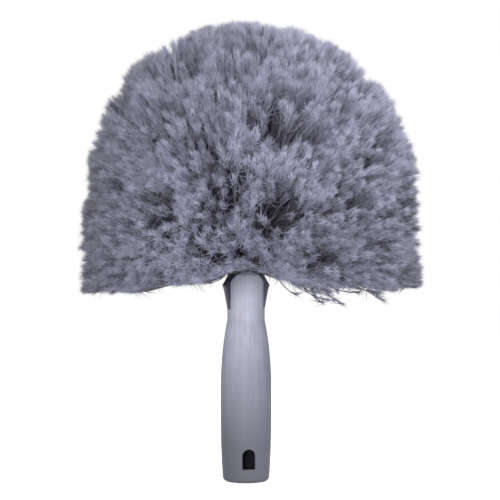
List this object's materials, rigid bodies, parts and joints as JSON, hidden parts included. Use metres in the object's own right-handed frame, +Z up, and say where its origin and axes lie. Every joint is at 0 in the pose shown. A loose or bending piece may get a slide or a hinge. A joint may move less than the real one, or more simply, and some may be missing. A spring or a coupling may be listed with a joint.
{
  "type": "cobweb brush",
  "caption": "Dome-headed cobweb brush: dense split-ended bristles on a block, held in a hollow grip that pushes onto a telescopic pole.",
  "frame": {"origin": "centre of the mouth of the pole socket, at the bottom end of the grip", "axes": "+Z up along the axis of the pole and the grip, towards the crown of the bristles; -Y towards the front, where the window for the spring button is; X across the width of the head"},
  "size_m": [0.2186, 0.2002, 0.3018],
  "materials": {
    "grip_plastic": "satin violet-grey moulded plastic with a soft highlight",
    "block_plastic": "dark violet-grey moulded plastic",
    "bristles": "fine crimped filaments with split ends, grey-violet, paler at the tips",
    "anchor_steel": "flat plated wire"
  },
  "bodies": {
    "root": {"handle": "grip_plastic", "brush_block": "block_plastic", "bristle_ring_1": "bristles", "bristle_ring_2": "bristles", "bristle_ring_3": "bristles", "bristle_ring_4": "bristles", "bristle_ring_5": "bristles", "bristle_ring_6": "bristles", "bristle_ring_7": "bristles", "bristle_ring_8": "bristles", "bristle_crown": "bristles", "anchors_1": "anchor_steel", "anchors_2": "anchor_steel", "anchors_3": "anchor_steel", "anchors_4": "anchor_steel", "anchors_5": "anchor_steel", "anchors_6": "anchor_steel", "anchors_7": "anchor_steel", "anchors_8": "anchor_steel", "anchors_crown": "anchor_steel"}
  },
  "joints": []
}
